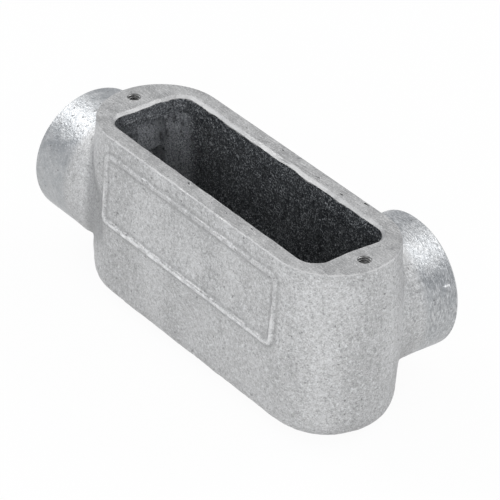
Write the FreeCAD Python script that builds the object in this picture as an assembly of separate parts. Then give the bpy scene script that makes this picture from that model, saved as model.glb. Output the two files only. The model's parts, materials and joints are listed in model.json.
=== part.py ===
import FreeCAD, Part
import math
import os

# Type LR conduit body, one malleable iron casting.  Millimetres.
# Origin on the flat back, under the centre of the cover opening.
# +X away from the end hub, +Y out of the side hub, +Z out of the cover opening.

# Outer body
BODY_LENGTH = 113.0        # at the cover seat
BODY_WIDTH = 37.0          # at the cover seat
BODY_HEIGHT = 54.5
DRAFT_DEG = 3.0            # each way from the parting plane
BACK_ROUND = 7.5           # rounding round the back
SEAT_CHAMFER = 0.35        # fine break on the outer edge of the cover seat

# Cover opening and cover screws
END_RIM = 10.9             # seat width at each end, on the middle line
SIDE_RIM = 5.3             # seat width along each side
OPENING_CORNER = 4.8
OPENING_CHAMFER = 0.9
LIP_DEPTH = 5.6            # depth of the opening before the chamber widens
SCREW_EDGE = 5.2           # screw axis in from the end of the seat
SCREW_HOLE_R = 1.73        # tapped hole at the thread crests
SCREW_HOLE_DEPTH = 9.5
SCREW_MOUTH_R = 1.95       # countersunk mouth
DRILL_POINT_DEG = 118.0

# Wire chamber
WALL = 4.0
FLOOR = 4.2
FLOOR_BEVEL = 3.8          # bevel between floor and walls
BOSS_BOTTOM = 17.0         # screw bosses reach this far below the cover seat
BOSS_SWELL_R = 14.0        # plan radius of the swelling of each boss, at its top
BOSS_SLOPE = 1.8           # swelling stands out this much more at its foot
BOSS_SETBACK = 1.2         # swelling stands back this much from the opening's end
BOSS_BEVEL = 2.0           # bevel under each boss

# Hubs
HUB_AXIS_DROP = 27.3       # hub axes below the cover seat
HUB_R = 19.4
HUB_ROOT_FILLET = 1.8
HUB_LIP_CHAMFER = 0.9      # bevel of the outer edge of each mouth
END_HUB_LENGTH = 16.5      # mouth of the end hub beyond the end of the seat
SIDE_HUB_LENGTH = 14.9     # mouth of the side hub beyond the side of the seat
SIDE_HUB_INSET = 22.9      # axis of the side hub in from the end of the seat
BORE_R = 11.9              # tapped bore at the thread crests
BORE_DEPTH = 13.2
BORE_MOUTH_R = 13.6        # chamfered mouth
THROAT_R = 10.4            # conduit stop inside each hub
THROAT_LIP = 1.0           # bevel of the stop on the thread side
THROAT_FLARE = 1.6         # bell of the stop on the chamber side

# Raised border of the nameplate panel on the -Y side
PANEL_HEIGHT = 20.8
PANEL_TOP_DROP = 5.8       # upper border line below the cover seat
PANEL_CORNER = 2.2
RIDGE_WIDTH = 1.3
RIDGE_HEIGHT = 0.3         # at the upper line
RIDGE_TILT_DEG = 1.1       # makes the border stand out more towards its lower line
RIDGE_BEVEL = 0.28

OPENING_LENGTH = BODY_LENGTH - 2 * END_RIM
OPENING_WIDTH = BODY_WIDTH - 2 * SIDE_RIM
STRAIGHT = BODY_LENGTH - BODY_WIDTH      # straight part of each side wall
SCREW_X = BODY_LENGTH / 2 - SCREW_EDGE
END_HUB_REACH = BODY_LENGTH / 2 + END_HUB_LENGTH
SIDE_HUB_REACH = BODY_WIDTH / 2 + SIDE_HUB_LENGTH
SIDE_HUB_X = BODY_LENGTH / 2 - SIDE_HUB_INSET
AXIS_Z = BODY_HEIGHT - HUB_AXIS_DROP
DRAFT = math.tan(math.radians(DRAFT_DEG))
SWELL = HUB_AXIS_DROP * DRAFT            # growth from the seat to the parting plane


def vec(x, y, z):
    return FreeCAD.Vector(x, y, z)


def stadium_frustum(inset, z_low, z_high):
    """Stadium block between two levels, its walls drafted away from the parting plane."""
    r_low, r_high = [BODY_WIDTH / 2 + SWELL - abs(z - AXIS_Z) * DRAFT - inset
                     for z in (z_low, z_high)]
    x = STRAIGHT / 2
    section = Part.makePolygon([vec(-x, -r_low, z_low), vec(-x, r_low, z_low),
                                vec(-x, r_high, z_high), vec(-x, -r_high, z_high),
                                vec(-x, -r_low, z_low)])
    middle = Part.Face(section).extrude(vec(STRAIGHT, 0, 0))
    ends = [Part.makeCone(r_low, r_high, z_high - z_low, vec(side * x, 0, z_low))
            for side in (-1, 1)]
    return middle.fuse(ends)


def drafted_body(inset, z_low, z_high):
    """Stadium body inset from the outer faces, widest on the parting plane."""
    lower = stadium_frustum(inset, z_low, AXIS_Z)
    upper = stadium_frustum(inset, AXIS_Z, z_high)
    return lower.fuse(upper).removeSplitter()


def ring_edges(shape, z):
    """Edges lying wholly in the level plane z."""
    out = []
    for edge in shape.Edges:
        box = edge.BoundBox
        if abs(box.ZMin - z) < 1e-4 and abs(box.ZMax - z) < 1e-4:
            out.append(edge)
    return out


def revolved(profile, origin, axis):
    """Solid of revolution of a closed outline of (distance along the axis, radius) points."""
    along = vec(*axis)
    points = [origin + along * d + vec(0, 0, r) for d, r in profile + profile[:1]]
    return Part.Face(Part.makePolygon(points)).revolve(origin, along, 360)


def hub_blank(origin, axis, reach):
    """Outside of a hub with a bevelled mouth edge."""
    q = HUB_LIP_CHAMFER
    return revolved([(0, 0), (0, HUB_R), (reach - q, HUB_R), (reach, HUB_R - q), (reach, 0)],
                    origin, axis)


def hub_bore(origin, axis, reach, wall_at):
    """Mouth chamfer, tapped bore, conduit stop and its bell into the chamber."""
    stop = reach - BORE_DEPTH
    mouth = (BORE_MOUTH_R - BORE_R) * 0.8
    bell = THROAT_R + THROAT_FLARE
    return revolved([
        (wall_at - WALL, 0), (wall_at - WALL, bell), (wall_at, bell),
        (wall_at + THROAT_FLARE, THROAT_R),
        (stop - THROAT_LIP, THROAT_R), (stop, THROAT_R + THROAT_LIP),
        (stop, BORE_R), (reach - mouth, BORE_R), (reach, BORE_MOUTH_R),
        (reach + 1, BORE_MOUTH_R), (reach + 1, 0)], origin, axis)


def chamber():
    """Hollow under the lip: drafted sides, bevelled floor, screw bosses left standing."""
    lip_z = BODY_HEIGHT - LIP_DEPTH
    hollow = drafted_body(WALL, FLOOR, lip_z)
    hollow = hollow.makeChamfer(FLOOR_BEVEL, ring_edges(hollow, FLOOR))
    boss_z = BODY_HEIGHT - BOSS_BOTTOM
    face_x = OPENING_LENGTH / 2 + BOSS_SETBACK
    for side in (-1, 1):
        swell = Part.makeCone(BOSS_SWELL_R + BOSS_SLOPE, BOSS_SWELL_R, lip_z - boss_z,
                              vec(side * (face_x + BOSS_SWELL_R), 0, boss_z))
        swell = swell.makeChamfer(BOSS_BEVEL, ring_edges(swell, boss_z))
        hollow = hollow.cut(swell)
    return hollow


def opening():
    """Cover opening with rounded corners and a small ground chamfer."""
    hx = OPENING_LENGTH / 2
    hy = OPENING_WIDTH / 2
    z0 = BODY_HEIGHT - LIP_DEPTH - 0.5
    box = Part.makeBox(2 * hx, 2 * hy, LIP_DEPTH + 1.5, vec(-hx, -hy, z0))
    upright = [e for e in box.Edges if e.BoundBox.ZLength > LIP_DEPTH]
    return box.makeFillet(OPENING_CORNER, upright)


def screw_hole(side):
    """Blind tapped hole with a drill point and a countersunk mouth."""
    x = side * SCREW_X
    end = BODY_HEIGHT - SCREW_HOLE_DEPTH
    tip = SCREW_HOLE_R / math.tan(math.radians(DRILL_POINT_DEG / 2))
    ch = SCREW_MOUTH_R - SCREW_HOLE_R
    shaft = Part.makeCylinder(SCREW_HOLE_R, SCREW_HOLE_DEPTH, vec(x, 0, end))
    point = Part.makeCone(0, SCREW_HOLE_R, tip, vec(x, 0, end - tip))
    mouth = Part.makeCone(SCREW_HOLE_R, SCREW_MOUTH_R, ch, vec(x, 0, BODY_HEIGHT - ch))
    return shaft.fuse([point, mouth])


def panel_border():
    """Raised ridge on the drafted -Y wall, higher along its lower line."""
    z_top = BODY_HEIGHT - PANEL_TOP_DROP
    w = RIDGE_WIDTH / 2

    def frame(grow, depth):
        lx = STRAIGHT + 2 * grow
        lz = PANEL_HEIGHT + 2 * grow
        box = Part.makeBox(lx, depth, lz, vec(-lx / 2, 0, -lz + grow))
        upright = [e for e in box.Edges if abs(e.BoundBox.YLength - depth) < 1e-6]
        return box.makeFillet(PANEL_CORNER + grow, upright)
    ridge = frame(w, RIDGE_HEIGHT + 1.0).cut(frame(-w, RIDGE_HEIGHT + 1.0))
    outer = [e for e in ridge.Edges if abs(e.BoundBox.YMin) < 1e-6 and e.BoundBox.YLength < 1e-6]
    ridge = ridge.makeChamfer(RIDGE_BEVEL, outer)
    ridge.rotate(vec(0, 0, 0), vec(1, 0, 0), -DRAFT_DEG - RIDGE_TILT_DEG)
    y_wall = -BODY_WIDTH / 2 - PANEL_TOP_DROP * DRAFT
    ridge.translate(vec(0, y_wall - RIDGE_HEIGHT, z_top))
    return ridge


def reach_y(edge):
    """Farthest distance of an edge from the middle plane y = 0."""
    return max(abs(edge.BoundBox.YMin), abs(edge.BoundBox.YMax))


def root_edges(shape):
    """Edges where the hub cylinders run into the body."""
    out = []
    for edge in shape.Edges:
        if edge.Length < 8 or isinstance(edge.Curve, (Part.Line, Part.Circle)):
            continue
        out.append(edge)
    return out


def casting():
    body = drafted_body(0.0, 0.0, BODY_HEIGHT)
    body = body.makeFillet(BACK_ROUND, ring_edges(body, 0.0))
    end_axis = vec(0, 0, AXIS_Z)
    side_axis = vec(SIDE_HUB_X, 0, AXIS_Z)
    body = body.fuse([hub_blank(end_axis, (-1, 0, 0), END_HUB_REACH),
                      hub_blank(side_axis, (0, 1, 0), SIDE_HUB_REACH)]).removeSplitter()
    body = body.makeFillet(HUB_ROOT_FILLET, root_edges(body))
    body = body.fuse(panel_border())
    chamber_end = BODY_LENGTH / 2 + SWELL - WALL
    chamber_side = BODY_WIDTH / 2 + SWELL - WALL
    body = body.cut([chamber(), opening(), screw_hole(-1), screw_hole(1),
                     hub_bore(end_axis, (-1, 0, 0), END_HUB_REACH, chamber_end),
                     hub_bore(side_axis, (0, 1, 0), SIDE_HUB_REACH, chamber_side)])
    seat = [e for e in ring_edges(body, BODY_HEIGHT)
            if max(e.BoundBox.XLength, e.BoundBox.YLength) > 2.5 * SCREW_MOUTH_R]
    rim = [e for e in seat if reach_y(e) > OPENING_WIDTH / 2 + 1]
    mouth = [e for e in seat if reach_y(e) < OPENING_WIDTH / 2 + 1]
    body = body.makeChamfer(SEAT_CHAMFER, rim)
    return body.makeChamfer(OPENING_CHAMFER, mouth)


part = casting()
os.makedirs("parts", exist_ok=True)
part.exportStep("parts/body_casting.step")
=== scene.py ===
import json
import math
import bpy
import bmesh
import numpy as np
from mathutils import Matrix, Vector, noise


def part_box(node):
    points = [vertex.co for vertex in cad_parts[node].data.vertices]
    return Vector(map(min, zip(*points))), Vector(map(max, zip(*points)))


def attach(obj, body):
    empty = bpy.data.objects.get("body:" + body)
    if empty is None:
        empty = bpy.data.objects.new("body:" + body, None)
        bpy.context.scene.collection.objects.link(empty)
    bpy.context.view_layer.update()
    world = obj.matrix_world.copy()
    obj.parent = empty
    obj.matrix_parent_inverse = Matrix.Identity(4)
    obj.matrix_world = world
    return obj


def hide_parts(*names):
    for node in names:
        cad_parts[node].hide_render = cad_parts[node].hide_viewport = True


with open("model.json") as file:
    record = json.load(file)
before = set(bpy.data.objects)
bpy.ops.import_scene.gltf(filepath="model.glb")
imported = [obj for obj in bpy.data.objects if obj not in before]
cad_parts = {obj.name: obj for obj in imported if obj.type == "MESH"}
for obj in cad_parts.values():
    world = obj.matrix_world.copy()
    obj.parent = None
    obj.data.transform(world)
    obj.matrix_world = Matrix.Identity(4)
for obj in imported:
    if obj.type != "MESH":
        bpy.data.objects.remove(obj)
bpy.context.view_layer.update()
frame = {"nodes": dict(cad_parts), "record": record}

# Sizes in millimetres, in the part's frame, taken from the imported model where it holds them.
MM = 0.001
low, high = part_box("body_casting")
mounts = {m["name"]: m for m in frame["record"]["mounts"]}
AXIS_Z = mounts["end_hub"]["pos_m"][2] / MM
SIDE_X = mounts["side_hub"]["pos_m"][0] / MM
SCREW_X = mounts["cover_screws"]["dims"]["spacing_x_mm"] / 2
BORE_R = mounts["end_hub"]["dims"]["r_mm"]
BORE_LENGTH = mounts["end_hub"]["dims"]["length_mm"]
SCREW_R = mounts["cover_screws"]["dims"]["hole_r_mm"]
TOP = high.z / MM
END_MOUTH = -low.x / MM              # end hub mouth, along -X
SIDE_MOUTH = high.y / MM             # side hub mouth, along +Y
DRAFT = math.tan(math.radians(3.0))
SEAT_HALF = 18.5                     # half width of the cover seat
CENTRE_X = 38.0                      # centres of the half-round ends
OPENING_X = 45.6                     # half length of the cover opening
OPENING_Y = 13.2                     # half width of the cover opening
OPENING_CORNER = 4.8
OPENING_CHAMFER = 0.9
SEAT_CHAMFER = 0.35
LIP_DEPTH = 5.6
THROAT_DEPTH = 13.3                  # from a hub's mouth to its conduit stop
MOUTH_R = 13.65                      # outer edge of a hub's mouth chamfer
PANEL_LOW, PANEL_HIGH = 27.95, 48.7  # border lines of the nameplate panel
PANEL_X = 38.0
PANEL_CORNER = 2.2
BORDER_LOW, BORDER_HIGH = 0.70, 0.40 # height of the border at its lower and upper lines
BORDER_FOOT = 1.25                   # the border runs out this far from its middle line
MOST_TRIANGLES = 190000
HUB_R = 19.4
END_HUB_FROM = 56.5                  # distances out at which the smoother hub skin begins
SIDE_HUB_FROM = 20.0
HUB_BLEND = 3.5
INSIDE_DEPTH = 2.5                   # faces this far in from the outer walls are the chamber's
BORDER_EDGE = 0.55                   # longest mesh edge on the panel's border
GROUND_EDGE = 3.0                    # longest mesh edge on flat ground faces

# material slots of the dressed casting
CAST, GROUND, INSIDE, TAPPED, SCREWS = range(5)


# ------------------------------------------------------------------ threads
def tap_solid(name, crest, root, pitch, length, taper, around, per_pitch):
    """A threaded plug along +Z from its mouth at z = 0, in millimetres."""
    rows = int(length / pitch * per_pitch) + 1
    core = crest - 0.12
    verts, faces = [], []
    for j in range(rows):
        z = length * j / (rows - 1)
        fade = min(1.0, (length - z) / (1.2 * pitch))
        for i in range(around):
            turn = i / around
            phase = (z / pitch - turn) % 1.0
            flank = 1 - abs(phase - 0.5) * 2
            rise = min(max((flank - 0.08) / 0.84, 0.0), 1.0)
            r = core + (root - core - taper * z) * rise * fade
            verts.append((r * math.cos(2 * math.pi * turn), r * math.sin(2 * math.pi * turn), z))
    for j in range(rows - 1):
        p, q = j * around, (j + 1) * around
        for i in range(around):
            k = (i + 1) % around
            faces.append((p + i, p + k, q + k))
            faces.append((p + i, q + k, q + i))
    bottom, top = len(verts), len(verts) + 1
    verts += [(0, 0, 0), (0, 0, length)]
    last = (rows - 1) * around
    for i in range(around):
        k = (i + 1) % around
        faces.append((bottom, k, i))
        faces.append((top, last + i, last + k))
    mesh = bpy.data.meshes.new(name)
    mesh.from_pydata(verts, [], faces)
    return mesh


def place(mesh, origin, inward):
    """Turns a plug's +Z to the inward direction, with its mouth at origin."""
    turn = Vector((0, 0, 1)).rotation_difference(Vector(inward)).to_matrix().to_4x4()
    mesh.transform(Matrix.Translation(Vector(origin) * MM) @ turn @ Matrix.Scale(MM, 4))
    obj = bpy.data.objects.new(mesh.name, mesh)
    bpy.context.scene.collection.objects.link(obj)
    return obj


def cut(target, tool):
    """Cuts the tool out of the target and removes the tool."""
    mod = target.modifiers.new("thread", "BOOLEAN")
    mod.operation = "DIFFERENCE"
    mod.solver = "EXACT"
    mod.object = tool
    graph = bpy.context.evaluated_depsgraph_get()
    done = bpy.data.meshes.new_from_object(target.evaluated_get(graph))
    target.modifiers.clear()
    old = target.data
    target.data = done
    bpy.data.meshes.remove(old)
    bpy.data.objects.remove(tool)


def cut_threads(obj):
    """Taper threads in both hubs and machine-screw threads in both cover-screw holes."""
    hub = (BORE_R, BORE_R + 1.25, 1.814, BORE_LENGTH + 1.5, 1 / 32, 120, 8)
    cut(obj, place(tap_solid("end_tap", *hub), (-END_MOUTH - 0.2, 0, AXIS_Z), (1, 0, 0)))
    cut(obj, place(tap_solid("side_tap", *hub), (SIDE_X, SIDE_MOUTH + 0.2, AXIS_Z), (0, -1, 0)))
    for side in (-1, 1):
        plug = tap_solid("screw_tap", SCREW_R, SCREW_R + 0.33, 0.794, 7.6, 0.0, 36, 8)
        cut(obj, place(plug, (side * SCREW_X, 0, TOP + 0.05), (0, 0, -1)))


# ------------------------------------------------------------------ surfaces of the casting
def half_width(z):
    """Half width of the drafted body at a level."""
    return SEAT_HALF + (TOP - AXIS_Z - abs(z - AXIS_Z)) * DRAFT


def depth_in(x, y, z):
    """Distance in from the drafted outer side walls."""
    over = np.maximum(np.abs(x) - CENTRE_X, 0.0)
    return half_width(z) - np.hypot(over, y)


def rounded_box(x, y, half_x, half_y, radius):
    """Distance out from a rounded rectangle, with the offsets from its corner's centre."""
    qx = np.abs(x) - (half_x - radius)
    qy = np.abs(y) - (half_y - radius)
    corner = np.hypot(np.maximum(qx, 0), np.maximum(qy, 0))
    return corner + np.minimum(np.maximum(qx, qy), 0) - radius, qx, qy, corner


def opening_distance(x, y):
    """Distance out from the edge of the cover opening, and the direction outwards."""
    away, qx, qy, corner = rounded_box(x, y, OPENING_X, OPENING_Y, OPENING_CORNER)
    wide = np.maximum(corner, 1e-6)
    along_x = np.where(corner > 0, np.maximum(qx, 0) / wide, qx > qy) * np.sign(x)
    along_y = np.where(corner > 0, np.maximum(qy, 0) / wide, qx <= qy) * np.sign(y)
    return away, along_x, along_y


def region(c):
    """Slot of each face from its centre."""
    x, y, z = c.T
    r_end = np.hypot(y, z - AXIS_Z)
    r_side = np.hypot(x - SIDE_X, z - AXIS_Z)
    in_end = x + END_MOUTH
    in_side = SIDE_MOUTH - y
    deep = depth_in(x, y, z)
    slot = np.full(len(c), CAST)
    slot[(deep > INSIDE_DEPTH) & (z > 2.0) & (z < TOP - 0.05)] = INSIDE
    slot[(x < -CENTRE_X) & (r_end < BORE_R + 1.4) & (in_end > THROAT_DEPTH)] = INSIDE
    slot[(y > 10) & (r_side < BORE_R + 1.4) & (in_side > THROAT_DEPTH)] = INSIDE
    slot[(in_end < THROAT_DEPTH) & (r_end < MOUTH_R)] = TAPPED
    slot[(in_side < THROAT_DEPTH) & (r_side < MOUTH_R)] = TAPPED
    slot[in_end < 0.02] = GROUND
    slot[in_side < 0.02] = GROUND
    slot[z > TOP - SEAT_CHAMFER] = GROUND
    slot[(z > TOP - OPENING_CHAMFER) & (deep > INSIDE_DEPTH)] = GROUND
    screw = np.hypot(np.abs(x) - SCREW_X, y) < SCREW_R + 0.55
    slot[screw & (z < TOP - 0.02) & (z > TOP - 20)] = SCREWS
    return slot


def border_distance(x, z):
    """Distance from the middle line of the nameplate panel's border."""
    half_z = (PANEL_HIGH - PANEL_LOW) / 2
    away = rounded_box(x, z - (PANEL_LOW + PANEL_HIGH) / 2, PANEL_X, half_z, PANEL_CORNER)[0]
    return np.abs(away)


def flip_slivers(bm):
    """Turns the diagonals of flat places so that long thin triangles become even ones."""
    flat = []
    for edge in bm.edges:
        sides = edge.link_faces
        if len(sides) == 2 and edge.smooth and sides[0].material_index == sides[1].material_index:
            if edge.calc_face_angle(1.0) < 0.015:
                flat.append(edge)
    bmesh.ops.beautify_fill(bm, faces=list(bm.faces), edges=flat, method="ANGLE")


def refine(bm, limit):
    """Splits long edges, finer at the panel's border and coarser on ground faces."""
    for _ in range(9):
        flip_slivers(bm)
        bm.verts.index_update()
        co = np.array([v.co for v in bm.verts]) / MM
        ends = np.array([(e.verts[0].index, e.verts[1].index) for e in bm.edges])
        slots = np.array([[f.material_index for f in e.link_faces[:2]] for e in bm.edges])
        a, b = co[ends[:, 0]], co[ends[:, 1]]
        x, y, z = ((a + b) / 2).T
        allowed = np.full(len(ends), limit)
        border = (y < -SEAT_HALF) & (border_distance(x, z) < BORDER_FOOT + limit / 2)
        allowed[border] = BORDER_EDGE
        allowed[(slots == GROUND).all(axis=1)] = GROUND_EDGE
        long = np.linalg.norm(a - b, axis=1) > allowed
        if not long.any():
            break
        todo = [e for e, split in zip(bm.edges, long) if split]
        bmesh.ops.subdivide_edges(bm, edges=todo, cuts=1)
        bmesh.ops.triangulate(bm, faces=[f for f in bm.faces if len(f.verts) > 3])


def skin():
    """The casting with cut threads and an even mesh, in place of the plain solid."""
    me = frame["nodes"]["body_casting"].data.copy()
    me.name = "casting_skin"
    if me.has_custom_normals:
        # the imported normals belong to the plain solid
        me.attributes.remove(me.attributes["custom_normal"])
    obj = bpy.data.objects.new("casting_skin", me)
    bpy.context.scene.collection.objects.link(obj)
    bm = bmesh.new()
    bm.from_mesh(me)
    bmesh.ops.remove_doubles(bm, verts=bm.verts, dist=2e-6)
    bm.to_mesh(me)
    bm.free()
    me.materials.clear()
    cut_threads(obj)

    me = obj.data
    bm = bmesh.new()
    bm.from_mesh(me)
    bmesh.ops.remove_doubles(bm, verts=bm.verts, dist=2e-6)
    bmesh.ops.triangulate(bm, faces=list(bm.faces))
    centres = np.array([f.calc_center_median() for f in bm.faces]) / MM
    for face, slot in zip(bm.faces, region(centres)):
        face.material_index = int(slot)
        face.smooth = True
    for edge in bm.edges:
        at = edge.verts[0].co / MM
        on_border = at.y < -SEAT_HALF and border_distance(at.x, at.z) < BORDER_FOOT
        edge.smooth = bool(on_border) or edge.calc_face_angle(0.0) < math.radians(32)
    refine(bm, 1.0)
    bm.to_mesh(me)
    bm.free()
    return obj


def read(layer, name, width, kind):
    """One attribute of a mesh as an array."""
    values = np.zeros(len(layer) * width, kind)
    layer.foreach_get(name, values)
    return values.reshape(-1, width) if width > 1 else values


def held_points(me, edges, tri, slots):
    """Points of sharp edges, ground faces and threads, which stay as cut."""
    sharp = read(me.attributes["sharp_edge"].data, "value", 1, bool)
    held = np.zeros(len(me.vertices), bool)
    held[edges[sharp].ravel()] = True
    for slot in (GROUND, TAPPED, SCREWS):
        held[tri[slots == slot].ravel()] = True
    return held


def even_out(co, edges, free, passes):
    """Laplacian smoothing of the free points, which hides the facets of the solid."""
    count = np.bincount(edges.ravel(), minlength=len(co))
    for _ in range(passes):
        total = np.zeros_like(co)
        np.add.at(total, edges[:, 0], co[edges[:, 1]])
        np.add.at(total, edges[:, 1], co[edges[:, 0]])
        co[free] += 0.5 * (total / count[:, None] - co)[free]


def reach_from(held, co, edges, rings):
    """Distance of each point from the nearest held one, along the mesh."""
    reach = np.where(held, 0.0, 9.0)
    length = np.linalg.norm(co[edges[:, 0]] - co[edges[:, 1]], axis=1) / MM
    for _ in range(rings):
        np.minimum.at(reach, edges[:, 0], reach[edges[:, 1]] + length)
        np.minimum.at(reach, edges[:, 1], reach[edges[:, 0]] + length)
    return reach


def point_normals(co, tri):
    face = np.cross(co[tri[:, 1]] - co[tri[:, 0]], co[tri[:, 2]] - co[tri[:, 0]])
    normal = np.zeros_like(co)
    for k in range(3):
        np.add.at(normal, tri[:, k], face)
    return normal / np.maximum(np.linalg.norm(normal, axis=1), 1e-20)[:, None]


def wave(p, size, shift=0.0):
    return noise.noise(p / size + Vector((shift, 0, 0)))


def cast_relief(p, inside):
    """Height of the cast skin over the true form at a point."""
    if inside:
        tall = Vector((p.x, p.y, p.z * 0.45))
        return wave(p, 4.0) * 0.16 + wave(tall, 1.6, 7.0) * 0.22
    lumps = wave(p, 9.0) * 0.12 + wave(p, 3.2, 40.0) * 0.07 + wave(p, 1.7, 90.0) * 0.05
    if p.y < -SEAT_HALF and PANEL_LOW < p.z < PANEL_HIGH and abs(p.x) < PANEL_X:
        lumps += wave(p, 2.6, 20.0) * 0.17
    if p.x < -CENTRE_X:
        wall = abs(depth_in(p.x, p.y, p.z))
        hub = abs(math.hypot(p.y, p.z - AXIS_Z) - HUB_R)
        lumps -= 0.55 * math.exp(-(wall * wall + hub * hub) / 1.6)
    return lumps


def form_border(co):
    """Gives the border of the nameplate panel its soft cast flanks."""
    x, y, z = (co / MM).T
    away = border_distance(x, z)
    near = np.nonzero((away < BORDER_FOOT) & (y < -SEAT_HALF * 0.9))[0]
    share = np.clip((z[near] - PANEL_LOW) / (PANEL_HIGH - PANEL_LOW), 0, 1)
    crest = BORDER_LOW + (BORDER_HIGH - BORDER_LOW) * share
    slope = np.clip((BORDER_FOOT - away[near]) / (BORDER_FOOT - 0.3), 0, 1)
    rise = crest * slope * slope * (3 - 2 * slope)
    over = np.maximum(np.abs(x[near]) - CENTRE_X, 0.0)
    co[near, 1] = -np.sqrt((half_width(z[near]) + rise) ** 2 - over ** 2) * MM


def wander_opening(co):
    """The long edges of the cover opening wander slightly, as cast and fettled edges do."""
    x, y, z = (co / MM).T
    away, along_x, along_y = opening_distance(x, y)
    below = TOP - z
    near = (away > -3) & (away < 3.5) & (below < LIP_DEPTH + 0.1)
    for i in np.nonzero(near)[0]:
        p = Vector((x[i], y[i], 0))
        shift = wave(p, 7.0, 12.0) * 0.42 + wave(p, 3.0, 31.0) * 0.16
        fade = 1 - max(away[i] - 1.0, 0) / 2.5
        co[i] += Vector((along_x[i], along_y[i], 0)) * shift * fade * MM


def settle(obj):
    """Evens out the facets, then gives the cast surfaces their slight waves."""
    me = obj.data
    co = read(me.vertices, "co", 3, float)
    edges = read(me.edges, "vertices", 2, np.int64)
    tri = read(me.loops, "vertex_index", 1, np.int64).reshape(-1, 3)
    slots = read(me.polygons, "material_index", 1, np.int64)
    held = held_points(me, edges, tri, slots)
    free = ~held
    even_out(co, edges, free, 12)
    form_border(co)
    wander_opening(co)
    fade = np.clip(reach_from(held, co, edges, 8) / 2.0, 0, 1)
    normal = point_normals(co, tri)
    inner = np.zeros(len(co), bool)
    inner[tri[slots == INSIDE].ravel()] = True
    for i in np.nonzero(free)[0]:
        p = Vector(co[i] / MM)
        co[i] += normal[i] * cast_relief(p, inner[i]) * fade[i] * MM
    me.vertices.foreach_set("co", co.ravel())
    me.update()


def thin_out(obj):
    """Keeps the mesh under its limit, leaving sharp edges, ground faces and threads alone."""
    me = obj.data
    count = len(me.polygons)
    if count < MOST_TRIANGLES:
        return
    edges = read(me.edges, "vertices", 2, np.int64)
    tri = read(me.loops, "vertex_index", 1, np.int64).reshape(-1, 3)
    slots = read(me.polygons, "material_index", 1, np.int64)
    may = ~held_points(me, edges, tri, slots)
    group = obj.vertex_groups.new(name="thin")
    group.add([int(i) for i in np.nonzero(may)[0]], 1.0, "REPLACE")
    mod = obj.modifiers.new("thin", "DECIMATE")
    mod.vertex_group = "thin"
    mod.ratio = MOST_TRIANGLES / count
    graph = bpy.context.evaluated_depsgraph_get()
    done = bpy.data.meshes.new_from_object(obj.evaluated_get(graph))
    obj.modifiers.clear()
    obj.vertex_groups.clear()
    obj.data = done


casting = skin()
settle(casting)
thin_out(casting)
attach(casting, "root")
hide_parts("body_casting")


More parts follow.
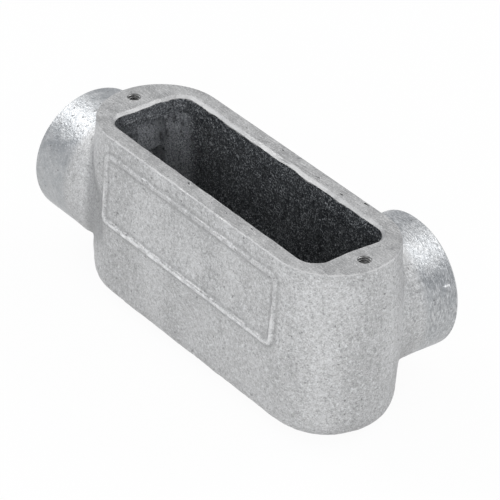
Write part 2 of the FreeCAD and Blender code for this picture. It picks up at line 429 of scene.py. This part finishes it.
# ------------------------------------------------------------------ materials
class Nodes:
    """Short names for the shader nodes of one material."""

    def __init__(self, name):
        self.mat = bpy.data.materials.new(name)
        self.mat.use_nodes = True
        self.tree = self.mat.node_tree
        self.bsdf = self.tree.nodes["Principled BSDF"]
        self.coord = self.add("ShaderNodeTexCoord").outputs["Object"]

    def add(self, kind, **props):
        node = self.tree.nodes.new(kind)
        for key, value in props.items():
            setattr(node, key, value)
        return node

    def put(self, socket, value):
        if isinstance(value, bpy.types.NodeSocket):
            self.tree.links.new(value, socket)
        else:
            socket.default_value = value

    def noise(self, size_mm, detail=4.0, rough=0.55, stretch=None):
        vector = self.coord
        if stretch:
            scaled = self.add("ShaderNodeMapping")
            scaled.inputs["Scale"].default_value = stretch
            self.put(scaled.inputs["Vector"], vector)
            vector = scaled.outputs["Vector"]
        texture = self.add("ShaderNodeTexNoise")
        self.put(texture.inputs["Vector"], vector)
        texture.inputs["Scale"].default_value = 1.0 / (size_mm * MM)
        texture.inputs["Detail"].default_value = detail
        texture.inputs["Roughness"].default_value = rough
        return texture.outputs["Fac"]

    def span(self, value, start, end, low=0.0, high=1.0):
        ramp = self.add("ShaderNodeMapRange", interpolation_type="SMOOTHSTEP")
        self.put(ramp.inputs["Value"], value)
        for key, number in (("From Min", start), ("From Max", end), ("To Min", low), ("To Max", high)):
            ramp.inputs[key].default_value = number
        return ramp.outputs["Result"]

    def math(self, operation, a, b=0.0):
        node = self.add("ShaderNodeMath", operation=operation)
        self.put(node.inputs[0], a)
        self.put(node.inputs[1], b)
        return node.outputs[0]

    def mix(self, factor, a, b):
        node = self.add("ShaderNodeMix", data_type="RGBA")
        self.put(node.inputs["Factor"], factor)
        self.put(node.inputs["A"], a)
        self.put(node.inputs["B"], b)
        return node.outputs["Result"]

    def axis(self, which):
        split = self.add("ShaderNodeSeparateXYZ")
        self.put(split.inputs[0], self.coord)
        return split.outputs[which]

    def border(self):
        """Distance from the middle line of the nameplate panel's border, in metres."""
        half_z = (PANEL_HIGH - PANEL_LOW) / 2
        middle = (PANEL_LOW + PANEL_HIGH) / 2 * MM
        across = self.math("SUBTRACT", self.axis("Z"), middle)
        straight_x = (PANEL_X - PANEL_CORNER) * MM
        straight_z = (half_z - PANEL_CORNER) * MM
        qx = self.math("SUBTRACT", self.math("ABSOLUTE", self.axis("X")), straight_x)
        qz = self.math("SUBTRACT", self.math("ABSOLUTE", across), straight_z)
        corner = self.hypot(self.math("MAXIMUM", qx, 0.0), self.math("MAXIMUM", qz, 0.0))
        near = self.math("MINIMUM", self.math("MAXIMUM", qx, qz), 0.0)
        away = self.math("SUBTRACT", self.math("ADD", corner, near), PANEL_CORNER * MM)
        return self.math("ABSOLUTE", away)

    def hypot(self, a, b):
        squares = self.math("ADD", self.math("POWER", a, 2.0), self.math("POWER", b, 2.0))
        return self.math("POWER", squares, 0.5)

    def crease(self):
        """Distance from the line where the end hub runs into the body, in metres."""
        up = self.math("ABSOLUTE", self.math("SUBTRACT", self.axis("Z"), AXIS_Z * MM))
        widest = (SEAT_HALF + (TOP - AXIS_Z) * DRAFT) * MM
        half = self.math("SUBTRACT", widest, self.math("MULTIPLY", up, DRAFT))
        along = self.math("SUBTRACT", self.math("ABSOLUTE", self.axis("X")), CENTRE_X * MM)
        plan = self.hypot(self.math("MAXIMUM", along, 0.0), self.axis("Y"))
        wall = self.math("SUBTRACT", plan, half)
        hub = self.math("SUBTRACT", self.hypot(self.axis("Y"), up), HUB_R * MM)
        return self.hypot(wall, hub)

    def bump(self, height, depth_mm, normal=None):
        node = self.add("ShaderNodeBump")
        node.inputs["Strength"].default_value = 0.8
        node.inputs["Distance"].default_value = depth_mm * MM
        self.put(node.inputs["Height"], height)
        if normal:
            self.put(node.inputs["Normal"], normal)
        return node.outputs["Normal"]

    def finish(self, color, rough, normal, metallic):
        self.put(self.bsdf.inputs["Base Color"], color)
        self.put(self.bsdf.inputs["Roughness"], rough)
        self.put(self.bsdf.inputs["Normal"], normal)
        self.put(self.bsdf.inputs["Metallic"], metallic)
        return self.mat


def grey(value, blue=0.0):
    return (value * (1 - blue), value, value * (1 + blue), 1.0)


def cast_zinc():
    """Hot-dipped zinc over the cast skin: matt and grainy, shinier on the hubs."""
    n = Nodes("galvanised_casting")
    large = n.noise(11.0, 3.0, 0.5, stretch=(1.0, 1.0, 0.5))
    mid = n.noise(3.0, 4.0, 0.6)
    fine = n.noise(1.0, 3.0, 0.7)
    grain = n.noise(0.45, 2.0, 0.8)
    brushed = n.noise(0.7, 3.0, 0.7, stretch=(0.5, 1.9, 0.5))
    pits = n.span(n.noise(1.2, 2.0, 0.5), 0.25, 0.34, 1.0, 0.0)
    hub_end = n.span(n.axis("X"), -(END_HUB_FROM + HUB_BLEND) * MM, -END_HUB_FROM * MM, 1.0, 0.0)
    hub_side = n.span(n.axis("Y"), SIDE_HUB_FROM * MM, (SIDE_HUB_FROM + HUB_BLEND) * MM)
    hub = n.math("MAXIMUM", hub_end, hub_side)
    color = n.mix(n.span(large, 0.3, 0.7), grey(0.42, 0.0), grey(0.56, 0.0))
    color = n.mix(hub, color, grey(0.38, 0.035))
    color = n.mix(n.span(mid, 0.35, 0.7, 0.0, 0.4), color, grey(0.60, 0.0))
    calm = n.math("SUBTRACT", 1.0, n.math("MULTIPLY", hub, 0.55))
    light = n.math("MULTIPLY", calm, n.span(fine, 0.50, 0.70, 0.0, 0.62))
    dark = n.math("MULTIPLY", calm, n.span(fine, 0.30, 0.49, 0.62, 0.0))
    color = n.mix(light, color, grey(0.76, 0.01))
    color = n.mix(dark, color, grey(0.24, 0.01))
    light = n.math("MULTIPLY", calm, n.span(grain, 0.51, 0.68, 0.0, 0.5))
    dark = n.math("MULTIPLY", calm, n.span(grain, 0.32, 0.49, 0.5, 0.0))
    color = n.mix(light, color, grey(0.80, 0.01))
    color = n.mix(dark, color, grey(0.18, 0.01))
    # Painted highlight: a lighter band along the middle line of the panel's border, strongest on its
    # lower line and faint on its upper line
    wall = n.span(n.axis("Y"), -SEAT_HALF * MM, -SEAT_HALF * MM + 0.0005, 1.0, 0.0)
    crest = n.math("MULTIPLY", wall, n.span(n.border(), 0.0002, 0.0007, 0.75, 0.0))
    crest = n.math("MULTIPLY", crest, n.span(n.axis("Z"), 0.030, 0.044, 1.0, 0.22))
    color = n.mix(n.math("MULTIPLY", crest, n.span(mid, 0.35, 0.6, 0.3, 1.0)), color, grey(0.88))
    # Painted shade: a darker band along both feet of the panel's border, all round it
    border = n.border()
    painted_shade_band = n.math("MINIMUM", n.span(border, 0.0007, 0.0011), n.span(border, 0.0011, 0.0024, 1.0, 0.0))
    color = n.mix(n.math("MULTIPLY", n.math("MULTIPLY", wall, painted_shade_band), 0.45), color, grey(0.27))
    # Painted shade: the colour darkens towards the crease where the end hub runs into the body
    at_end = n.span(n.axis("X"), -(CENTRE_X + 2.0) * MM, -CENTRE_X * MM, 1.0, 0.0)
    crease = n.math("MULTIPLY", at_end, n.span(n.crease(), 0.0002, 0.0028, 0.55, 0.0))
    color = n.mix(crease, color, grey(0.20, 0.02))
    strokes = n.math("MULTIPLY", hub_side, n.span(brushed, 0.35, 0.5, 0.6, 0.0))
    color = n.mix(strokes, color, grey(0.20, 0.03))
    shine = n.math("MULTIPLY", hub_side, n.span(brushed, 0.52, 0.68, 0.0, 0.6))
    color = n.mix(shine, color, grey(0.85, 0.01))
    color = n.mix(n.math("MULTIPLY", pits, 0.6), color, grey(0.10))
    rough = n.math("ADD", n.span(mid, 0.3, 0.7, 0.46, 0.58), n.math("MULTIPLY", hub, -0.14))
    normal = n.bump(mid, 0.25)
    normal = n.bump(fine, 0.20, normal)
    normal = n.bump(grain, 0.08, normal)
    normal = n.bump(n.math("MULTIPLY", pits, -1.0), 0.14, normal)
    return n.finish(color, rough, normal, n.math("ADD", 0.35, n.math("MULTIPLY", hub, 0.35)))


def ground_zinc():
    """Ground faces of the seat and the hub mouths, with fine crossing scratches."""
    n = Nodes("ground_seat")
    streak = n.noise(0.9, 5.0, 0.7, stretch=(0.35, 2.6, 1.0))
    cross = n.noise(0.7, 4.0, 0.7, stretch=(2.2, 0.5, 1.0))
    mid = n.noise(4.0, 4.0, 0.55)
    fine = n.noise(0.45, 2.0, 0.7)
    pits = n.span(n.noise(0.95, 2.0, 0.5), 0.25, 0.33, 1.0, 0.0)
    color = n.mix(n.span(mid, 0.35, 0.65), grey(0.30), grey(0.39))
    color = n.mix(n.span(streak, 0.48, 0.70, 0.0, 0.65), color, grey(0.64))
    color = n.mix(n.span(cross, 0.26, 0.46, 0.65, 0.0), color, grey(0.18, 0.01))
    color = n.mix(n.span(fine, 0.52, 0.70, 0.0, 0.6), color, grey(0.66))
    color = n.mix(n.span(fine, 0.30, 0.48, 0.6, 0.0), color, grey(0.17))
    color = n.mix(n.math("MULTIPLY", pits, 0.6), color, grey(0.10))
    bevel = n.span(n.axis("Z"), (TOP - 0.20) * MM, (TOP - 0.04) * MM, 0.85, 0.0)
    bevel = n.math("MULTIPLY", bevel, n.span(mid, 0.35, 0.6, 0.45, 1.0))
    color = n.mix(bevel, color, grey(0.50))
    rough = n.span(mid, 0.3, 0.7, 0.38, 0.52)
    normal = n.bump(streak, 0.06)
    normal = n.bump(fine, 0.06, normal)
    return n.finish(color, rough, normal, 0.5)


def dark_inside():
    """Chamber left dark and rough, with the zinc running over the very edge of the opening."""
    n = Nodes("dark_chamber")
    large = n.noise(10.0, 3.0, 0.5)
    mid = n.noise(2.0, 4.0, 0.65, stretch=(1.0, 1.0, 0.5))
    fine = n.noise(0.9, 3.0, 0.75)
    grain = n.noise(0.45, 2.0, 0.8)
    # The plain end of the chamber is painted lighter, a heavier zinc coat there; the boss below the lip
    # is painted lighter than the lip above it, which is painted light
    end = n.span(n.axis("X"), -0.046, -0.041, 1.0, 0.0)
    color = n.mix(n.span(large, 0.3, 0.7), (0.022, 0.026, 0.030, 1), (0.040, 0.045, 0.050, 1))
    lip = (TOP - LIP_DEPTH) * MM
    end = n.math("MULTIPLY", end, n.span(n.axis("Z"), lip - 0.0014, lip + 0.0006, 0.85, 0.35))
    color = n.mix(end, color, (0.30, 0.31, 0.33, 1))
    color = n.mix(n.span(fine, 0.50, 0.70, 0.0, 0.7), color, (0.30, 0.315, 0.33, 1))
    color = n.mix(n.span(grain, 0.52, 0.68, 0.0, 0.75), color, (0.50, 0.515, 0.53, 1))
    color = n.mix(n.span(grain, 0.34, 0.50, 0.8, 0.0), color, (0.012, 0.013, 0.015, 1))
    color = n.mix(n.span(mid, 0.28, 0.48, 0.8, 0.0), color, (0.014, 0.015, 0.018, 1))
    edge = n.math("ADD", n.axis("Z"), n.span(n.noise(3.5, 3.0, 0.6), 0.3, 0.7, -0.0004, 0.0004))
    top = TOP * MM
    color = n.mix(n.span(edge, top - 0.0012, top - 0.0009), color, grey(0.42))
    rough = n.span(mid, 0.3, 0.7, 0.36, 0.60)
    normal = n.bump(mid, 0.40)
    normal = n.bump(fine, 0.28, normal)
    normal = n.bump(grain, 0.12, normal)
    return n.finish(color, rough, normal, 0.3)


def cut_thread(name, shade, metallic):
    """Freshly cut thread, brighter in the hubs; darker in the screw holes, where the darkness is
    painted shade.
    """
    n = Nodes(name)
    fine = n.noise(0.5, 3.0, 0.6)
    mid = n.noise(2.0, 3.0, 0.6)
    color = n.mix(n.span(mid, 0.3, 0.7), grey(shade * 0.85), grey(shade * 1.15))
    color = n.mix(n.span(fine, 0.3, 0.45, 0.5, 0.0), color, grey(shade * 0.4))
    rough = n.span(mid, 0.3, 0.7, 0.30, 0.42)
    return n.finish(color, rough, n.bump(fine, 0.05), metallic)


casting.data.materials.append(cast_zinc())
casting.data.materials.append(ground_zinc())
casting.data.materials.append(dark_inside())
casting.data.materials.append(cut_thread("tapped_hub", 0.46, 0.8))
# The screw holes and their countersink rings get the darker thread colour: painted shade
casting.data.materials.append(cut_thread("screw_hole_painted_shade", 0.22, 0.9))


# ------------------------------------------------------------------ stage
def seen_share(tree, glossy):
    """1 for what the camera sees directly or through glass, less for reflections, 0 for light."""
    path = tree.nodes.new("ShaderNodeLightPath")
    part = tree.nodes.new("ShaderNodeMath")
    part.operation = "MULTIPLY"
    part.inputs[1].default_value = glossy
    tree.links.new(path.outputs["Is Glossy Ray"], part.inputs[0])
    most = part.outputs[0]
    for name in ("Is Camera Ray", "Is Transmission Ray"):
        larger = tree.nodes.new("ShaderNodeMath")
        larger.operation = "MAXIMUM"
        tree.links.new(path.outputs[name], larger.inputs[0])
        tree.links.new(most, larger.inputs[1])
        most = larger.outputs[0]
    return most


def studio_white(name, share):
    """Surface seen as white, greyer for bounced light, that keeps the object's soft shadow."""
    mat = bpy.data.materials.new(name)
    mat.use_nodes = True
    tree = mat.node_tree
    tree.nodes.clear()
    out = tree.nodes.new("ShaderNodeOutputMaterial")
    diffuse = tree.nodes.new("ShaderNodeBsdfDiffuse")
    diffuse.inputs["Color"].default_value = (0.45, 0.45, 0.45, 1)
    glow = tree.nodes.new("ShaderNodeEmission")
    glow.inputs["Color"].default_value = (1, 1, 1, 1)
    glow.inputs["Strength"].default_value = 1.03
    part = tree.nodes.new("ShaderNodeMath")
    part.operation = "MULTIPLY"
    tree.links.new(seen_share(tree, 1.0), part.inputs[0])
    part.inputs[1].default_value = share
    mix = tree.nodes.new("ShaderNodeMixShader")
    tree.links.new(part.outputs[0], mix.inputs[0])
    tree.links.new(diffuse.outputs[0], mix.inputs[1])
    tree.links.new(glow.outputs[0], mix.inputs[2])
    tree.links.new(mix.outputs[0], out.inputs["Surface"])
    return mat


def add_floor():
    bm = bmesh.new()
    bmesh.ops.create_grid(bm, x_segments=1, y_segments=1, size=6.0)
    mesh = bpy.data.meshes.new("floor")
    bm.to_mesh(mesh)
    bm.free()
    mesh.materials.append(studio_white("floor_white", 0.92))
    obj = bpy.data.objects.new("floor", mesh)
    obj.location.z = low.z - 0.0002
    bpy.context.scene.collection.objects.link(obj)


def add_world():
    """White surroundings whose light fades from the zenith to a dimmer horizon."""
    world = bpy.data.worlds.new("studio")
    bpy.context.scene.world = world
    world.use_nodes = True
    tree = world.node_tree
    tree.nodes.clear()
    out = tree.nodes.new("ShaderNodeOutputWorld")
    coord = tree.nodes.new("ShaderNodeTexCoord")
    split = tree.nodes.new("ShaderNodeSeparateXYZ")
    ramp = tree.nodes.new("ShaderNodeValToRGB")
    horizon, zenith = ramp.color_ramp.elements
    horizon.position = 0.3
    horizon.color = (0.22, 0.25, 0.30, 1)
    zenith.position = 0.75
    zenith.color = (1.0, 1.0, 1.0, 1)
    light = tree.nodes.new("ShaderNodeBackground")
    light.inputs["Strength"].default_value = 0.85
    seen = tree.nodes.new("ShaderNodeBackground")
    seen.inputs["Color"].default_value = (1, 1, 1, 1)
    seen.inputs["Strength"].default_value = 1.0
    mix = tree.nodes.new("ShaderNodeMixShader")
    tree.links.new(coord.outputs["Generated"], split.inputs[0])
    tree.links.new(split.outputs["Z"], ramp.inputs["Fac"])
    tree.links.new(ramp.outputs["Color"], light.inputs["Color"])
    tree.links.new(seen_share(tree, 0.25), mix.inputs[0])
    tree.links.new(light.outputs[0], mix.inputs[1])
    tree.links.new(seen.outputs[0], mix.inputs[2])
    tree.links.new(mix.outputs[0], out.inputs["Surface"])


def area(name, place_at, size, power):
    """Soft lamp aimed at the middle of the body."""
    light = bpy.data.lights.new(name, "AREA")
    light.shape = "RECTANGLE"
    light.size, light.size_y = size
    light.energy = power
    obj = bpy.data.objects.new(name, light)
    obj.location = place_at
    aim = Vector((0.0, 0.0, AXIS_Z * MM)) - Vector(place_at)
    obj.rotation_euler = aim.to_track_quat("-Z", "Y").to_euler()
    bpy.context.scene.collection.objects.link(obj)


def add_camera():
    """Camera above the panel side and the plain end, with the photograph's perspective."""
    back = Vector((0.65703, -0.52382, 0.54216)).normalized()
    right = Vector((0.60909, 0.79262, 0.02766))
    up = back.cross(right).normalized()
    right = up.cross(back).normalized()
    data = bpy.data.cameras.new("camera")
    data.sensor_width = 36.0
    data.lens = 236.403
    data.clip_end = 20.0
    cam = bpy.data.objects.new("camera", data)
    turn = Matrix((right, up, back)).transposed().to_4x4()
    cam.matrix_world = Matrix.Translation(Vector((0.59465, -0.47156, 0.52007))) @ turn
    bpy.context.scene.collection.objects.link(cam)
    bpy.context.scene.camera = cam


add_floor()
add_world()
area("key", (-0.66, -0.22, 0.80), (0.60, 0.50), 4.4)
area("fill", (0.85, -0.75, 0.55), (0.80, 0.60), 9.0)
area("back", (0.20, 0.70, 0.75), (0.60, 0.45), 3.0)
add_camera()
bpy.context.scene.view_settings.view_transform = "Standard"
